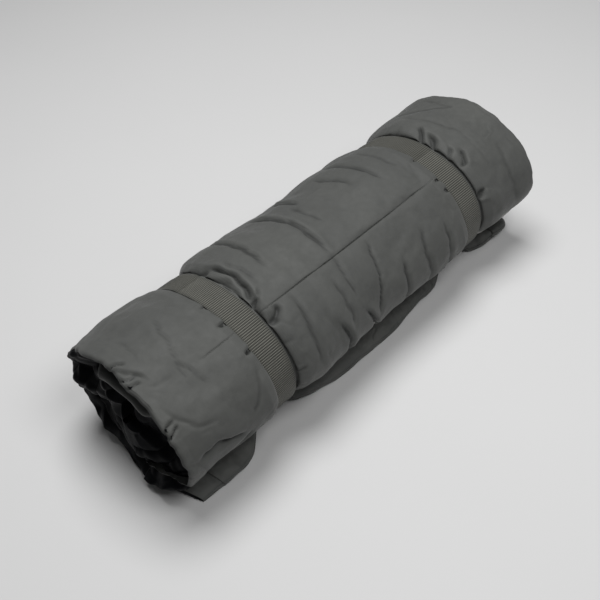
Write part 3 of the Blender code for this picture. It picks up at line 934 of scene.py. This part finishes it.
def build_side_wall(end, finish):
    """One long side of the pad: black cloth wound up with it and crushed into the roll's open end."""
    side = -1 if end == "near" else 1
    seed = 100 if end == "near" else 140
    theta = np.linspace(-pi, pi, 361)[None, :]
    cut = 0.26
    turned = np.mod(theta + cut, 2 * pi) - cut
    rho = np.linspace(1.0, 0.03, 130)[:, None]
    half_y, half_z = WALL_SHARE * HALF_DEPTH, WALL_SHARE * HALF_HEIGHT
    y = rho * half_y * np.sin(theta)
    z = np.maximum(AXIS_Z - rho * half_z * np.cos(theta), 0.0012 + 0.5 * (1 - rho) * half_z)
    turn = (1 - rho) * half_y / PITCH[0] - theta / (2 * pi)
    turn = turn + 0.16 * ripple(y, z, seed + 12, 0.05, 0.05)
    band = np.sqrt(abs(np.sin(pi * turn)) + 0.003)
    front = ramp(turned, 2.2, 2.7) * (1 - ramp(turned, 5.15, 5.5))
    recess_front = 0.003 + 0.021 * ramp(1 - rho, 0.0, 0.07)
    recess_back = -0.0035 * ramp(1 - rho, 0.0, 0.03) + 0.014 * ramp(1 - rho, 0.03, 0.3)
    recess = front * recess_front + (1 - front) * recess_back
    inside = ramp(1 - rho, 0.01, 0.1)
    recess = recess + inside * (0.0036 * (1 - band) - 0.0062 * crumpled(y, z, seed))
    shift = rim_shift(side, turned)
    x = side * (HALF_LENGTH + (1 - ramp(1 - rho, 0.1, 0.8)) * shift - recess)
    disc = joined(x, y, z)
    wall = grid_object(f"{end}_wall", [(disc, disc[..., 1:]), free_end_side(side, seed)], finish)
    place_piece(wall, "side_cloth", f"{end}_side_wall")


def free_end_side(side, seed):
    """The black side wall of the pad's free end."""
    share = np.linspace(0, 1.6, 60)[:, None]
    up = np.linspace(0, 1, 13)[None, :]
    x = np.full((1, 1), side * HALF_LENGTH)
    tip = tongue_reach(x)
    y = tip + 0.003 + share * (UNDER_ROLL - tip)
    low = tongue_floor(x, y) + 0.0008
    high = tongue_floor(x, y) + tongue_thickness(x, np.minimum(share, 1.0)) - 0.0004
    puff = np.sin(pi * up) ** 0.7 * (0.0016 + 0.0012 * crumpled(y + 0 * up, 0.02 * up + 0 * y, seed + 9))
    out = tongue_x(x, np.minimum(share, 1.0)) + side * (puff - 0.001)
    points = joined(out, y, low + up * (high - low))
    return points, points[..., 1:]


def build_inner_turns(finish):
    """The cover's inner turns. The edge of the second one shows inside the near end's upper rim."""
    theta = np.linspace(1.9 * pi, 2 * pi * TURNS, 620)[None, :]
    rim_x = np.array([-0.324, -0.3295, -0.3335, -0.3355, -0.336, -0.3345, -0.33, -0.323])
    rim_in = np.array([0, 0.0008, 0.003, 0.0058, 0.0088, 0.012, 0.0145, 0.0155])
    x = np.concatenate([rim_x[::-1], [-0.25, 0, 0.25], -rim_x])[:, None]
    inwards = np.concatenate([rim_in[::-1], [0, 0, 0], rim_in])[:, None]
    s = theta * ARC
    after = theta - 2 * pi
    shown = ramp(after, 2.3, 2.7) * (1 - ramp(after, 3.75, 4.2)) * (x < 0)
    recess = np.sign(x) * (abs(x) > 0.3) * (0.024 * (1 - shown) + 0.0012 * ripple(0 * x, s, 231, 1, 0.06))
    low = 0.0035 * shown + 0.0008 * ripple(x, s, 232, 0.3, 0.07)
    y, z = spiral_edge(np.broadcast_to(x, (len(x), theta.shape[1])), theta, inwards + low)
    points = joined(x - recess, y, z)
    turns = grid_object("inner_turns", [(points, joined(x, s))], finish)
    # Painted shade: a fixed low fold value darkens the whole piece, as if in shadow inside the roll's end.
    add_values(turns, "fold", np.full(points.shape[:2], -0.0019))
    place_piece(turns, "face_cloth")


def build_filling(finish):
    """The foam, rolled up inside the cover."""
    theta = np.linspace(radians(20), 2 * pi * TURNS, 420)
    end = HALF_LENGTH - 0.026
    rings = []
    for x in graded(-end, end, 41, lambda x: 1 + 3 * pinch(x, (0.04, 0.05))):
        held = pinch(x, (0.03, 0.06)) * (theta < 2 * pi)
        outer = np.stack(spiral_edge(x + 0 * theta, theta, 0.0085 + 0.0065 * held), 1)
        inner = np.stack(spiral_edge(x + 0 * theta, theta, 0.0145 + 0.0015 * held), 1)
        outer[:, 0] = np.minimum(outer[:, 0], back_limit(x) - 0.005)
        inner[:, 0] = np.minimum(inner[:, 0], back_limit(x) - 0.009)
        ring = np.concatenate([outer, inner[::-1]])
        rings.append(np.column_stack([np.full(len(ring), x), ring]))
    points = closed_columns(np.array(rings))
    filling = grid_object("foam_filling", [(points, points[..., :2])], finish)
    place_piece(filling, "foam", "foam_core")


def build_inner_end(finish):
    """The end wall in the middle of the roll."""
    x = np.linspace(-HALF_LENGTH + 0.03, HALF_LENGTH - 0.03, 60)[:, None]
    share = np.linspace(0, 1, 6)[None, :]
    y, z = spiral_edge(x + 0 * share, np.full((60, 6), 2 * pi * TURNS), 0.001 + 0.013 * share)
    points = joined(x, y, z + 0.001 * ripple(x, share, 251, 0.03, 0.5))
    wall = grid_object("inner_end_fold", [(points, points[..., :2])], finish)
    place_piece(wall, "side_cloth", "inner_end_wall")


def build_stitches(finish, seam_x, seam_line):
    """A row of stitches along the seam, which runs along the top of the roll."""
    pitch, long, wide = 0.0034, 0.0025, 0.0003
    starts = np.arange(*SEWN, pitch)
    starts = starts[strap_share(starts, np.full_like(starts, SEAM)) < 0.25]
    steps = np.linspace(0, 1, 7)
    turn = np.linspace(0, 2 * pi, 7)
    out = np.array([0, sin(SEAM) / HALF_DEPTH, -cos(SEAM) / HALF_HEIGHT])
    out /= np.linalg.norm(out)
    beside = np.cross([1, 0, 0], out)
    x = starts[:, None] + long * steps[None, :]
    base = points_at(seam_line, seam_x, x)
    radius = wide * np.sqrt(np.maximum(1 - (2 * steps - 1) ** 4, 0.01))
    rise = 0.0001 + 0.0003 * np.sin(pi * steps)
    grids = []
    for line in base:
        ring = radius[:, None] * np.cos(turn) + rise[:, None]
        points = line[:, None] + ring[..., None] * out + (radius[:, None] * np.sin(turn))[..., None] * beside
        grids.append((points, points[..., :2]))
    place_piece(grid_object("seam_stitches", grids, finish), "face_cloth")


# The straps


def strap_loop(offset):
    """The band's (y, z) line round the roll: from the buckle's middle up, over the top and round."""
    theta = np.radians(np.linspace(90, 450, 721))
    y = (CINCH * HALF_DEPTH + offset) * np.sin(theta)
    z = AXIS_Z - (CINCH * HALF_HEIGHT + offset) * np.cos(theta)
    return np.stack([np.minimum(y, BUCKLE_Y - 0.0005 + offset), z], 1)


def along_line(line, start, stop):
    """The stretch of a line between two lengths."""
    wanted = np.append(np.arange(start, stop, 0.004), stop)
    return points_at(line, lengths_along(line), wanted)


def from_underside(loop, start, share):
    """From the roll's lowest point back along a share of a loop, to a length after the loop's start."""
    line = along_line(loop, start, share * lengths_along(loop)[-1])
    return line[: np.argmin(line[:, 1]) + 1][::-1]


def through_slot(slot, face, way):
    """From behind a buckle's slot to its front face, turning up (1) or down (-1)."""
    behind = (BUCKLE_Y + 0.0015, slot + way * 0.0005)
    return np.array([behind, (face - BEND, slot), (face, slot + way * BEND)])


def upper_path(tail):
    """Underside, up the front, over the top, down to the plug's ladder and back over itself as a tail."""
    main = from_underside(strap_loop(WEB_OFFSET), LADDER_Z - AXIS_Z + 0.003, 0.8)
    over = np.array([(LADDER_FACE, PLUG_TOP - 0.006), (LADDER_FACE, PLUG_TOP + BEND)])
    free = along_line(strap_loop(WEB_OVERLAP), 0.05, 0.046 + tail)
    pressed = along_line(strap_loop(WEB_OFFSET + 0.0004), 0.05 + tail, 0.051 + tail)
    return np.vstack([main, through_slot(LADDER_Z, LADDER_FACE, 1), over, free, pressed])


def lower_path():
    """Underside, up the back to the socket's bar, over it, and back down to where the end is sewn."""
    main = from_underside(strap_loop(WEB_OFFSET)[::-1], AXIS_Z - BAR_Z + 0.003, 0.4)
    over = np.array([(BAR_FACE, SOCKET_BOTTOM - BEND)])
    sewn = along_line(strap_loop(WEB_OVERLAP)[::-1], *STITCHED_END)
    return np.vstack([main, through_slot(BAR_Z, BAR_FACE, -1), over, sewn])


def band_profile():
    """The webbing's cross-section, with rounded edges, as (across, out)."""
    half, thick = 0.5 * WEB_WIDTH, 0.5 * WEB_THICKNESS
    turn = np.linspace(-0.5 * pi, 0.5 * pi, 5)
    right = [(half - thick + thick * cos(a), thick * sin(a)) for a in turn]
    left = [(-x, y) for x, y in right[::-1]]
    top = [(w, thick) for w in np.linspace(half - thick, thick - half, 9)[1:-1]]
    return right + top + left + [(-w, -y) for w, y in top]


def build_band(name, path, end, finish, tail=0.0):
    """Ribbed webbing along a (y, z) path. Its last stretch, as long as the tail, takes the darker finish."""
    smooth = rounded_line(path, 3)
    lengths = lengths_along(smooth)
    at = np.arange(0, lengths[-1], RIB / 4)
    line = points_at(smooth, lengths, at)
    profile = np.array(band_profile())
    points = tube_grid(line, profile, STRAP_X[end])
    inner = points[1:-1]
    away = inner - np.column_stack([np.full(len(line), STRAP_X[end]), line])[:, None]
    away[..., 0] = 0
    away /= np.maximum(np.linalg.norm(away, axis=-1, keepdims=True), 1e-6)
    half = 0.5 * WEB_WIDTH
    rib = RIB_HEIGHT * np.cos(2 * pi * at / RIB)
    flat = 1 - ramp(abs(profile[:, 0]), half - 0.0022, half - 0.001)
    points[1:-1] = inner + away * (rib[:, None] * flat[None, :])[..., None]
    points = closed_columns(points)
    across = np.append(profile[:, 0], profile[0, 0])[None, :]
    along = np.concatenate([[0], at, at[-1:]])[:, None]
    band = grid_object(name, [(points, joined(across, along))], finish)
    edge = ramp(abs(across), half - 0.003, half - 0.0012)
    add_values(band, "edge", np.broadcast_to(edge, points.shape[:2]))
    start = lengths[-1] - tail
    add_values(band, "tail", np.broadcast_to(ramp(along, start, start + 0.002), points.shape[:2]))
    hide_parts(f"{end}_strap_webbing")
    return band


def build_straps(finish):
    for end in ENDS:
        lower = build_band(f"{end}_strap_lower", lower_path(), end, finish)
        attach(lower, "root")
        upper = build_band(f"{end}_strap_upper", upper_path(TAIL_LENGTH[end]), end, finish, TAIL_LENGTH[end])
        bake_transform(upper)


# Light and camera

AIM = Vector((-0.0542, -0.0204, 0.0916))
AZIMUTH, ELEVATION, TILT = radians(-44.32), radians(43.88), radians(-4.27)
DISTANCE = 1.186
LENS = 53.65


def build_camera():
    back = Vector((
        sin(AZIMUTH) * cos(ELEVATION),
        -cos(AZIMUTH) * cos(ELEVATION),
        sin(ELEVATION),
    ))
    level = Vector((cos(AZIMUTH), sin(AZIMUTH), 0))
    above = back.cross(level)
    right = cos(TILT) * level + sin(TILT) * above
    up = -sin(TILT) * level + cos(TILT) * above
    data = bpy.data.cameras.new("camera")
    data.lens, data.sensor_width = LENS, 36.0
    camera = bpy.data.objects.new("camera", data)
    place = Matrix((right, up, back)).transposed().to_4x4()
    place.translation = AIM + DISTANCE * back
    camera.matrix_world = place
    link(camera)
    bpy.context.scene.camera = camera


def area_light(name, place, aim, size, power):
    data = bpy.data.lights.new(name, "AREA")
    data.shape, data.size, data.energy = "DISK", size, power
    light = bpy.data.objects.new(name, data)
    light.location = place
    light.rotation_mode = "QUATERNION"
    light.rotation_quaternion = (Vector(aim) - Vector(place)).to_track_quat("-Z", "Y")
    link(light)


def build_studio():
    """Soft light from above and in front, a dim white world and a pale floor."""
    scene = bpy.context.scene
    scene.view_settings.view_transform = "Standard"
    world = bpy.data.worlds.new("studio")
    world.use_nodes = True
    background = world.node_tree.nodes["Background"].inputs
    background["Color"].default_value = grey(1.0, 1.0, 1.0)
    background["Strength"].default_value = 0.08
    scene.world = world
    area_light("key", (0.2, 0.4, 2.4), (0, 0, 0.05), 1.5, 51)
    area_light("front", (-0.05, -1.18, 1.98), (0, 0, 0.05), 1.0, 20)
    mesh = bpy.data.meshes.new("floor")
    half = 12.0
    corners = [(-half, -half, 0), (half, -half, 0), (half, half, 0), (-half, half, 0)]
    mesh.from_pydata(corners, [], [(0, 1, 2, 3)])
    f = Finish("pale_floor", Roughness=0.9, Specular_IOR_Level=0.1)
    f.feed("Base Color", f.mix(f.noise(f.place(), 3.0), grey(0.6, 0.6, 0.6), grey(0.62, 0.62, 0.62)))
    mesh.materials.append(f.material)
    floor = bpy.data.objects.new("floor", mesh)
    link(floor)


def finish_cad_nodes(material):
    """The buckles keep their CAD shape and take a moulded finish."""
    for name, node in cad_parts.items():
        if "buckle" in name or "latch" in name:
            node.data.materials.clear()
            node.data.materials.append(material)


def main():
    build_camera()
    build_studio()
    cloth, black = face_cloth(), side_cloth()
    seam_x, seam_line = build_outer_cover(cloth)
    build_inner_cover(cloth)
    build_inner_turns(cloth)
    build_free_end(black)
    build_inner_end(black)
    for end in ENDS:
        build_side_wall(end, black)
    build_filling(foam())
    build_stitches(thread(), seam_x, seam_line)
    build_straps(webbing())
    finish_cad_nodes(plastic())
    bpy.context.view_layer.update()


main()
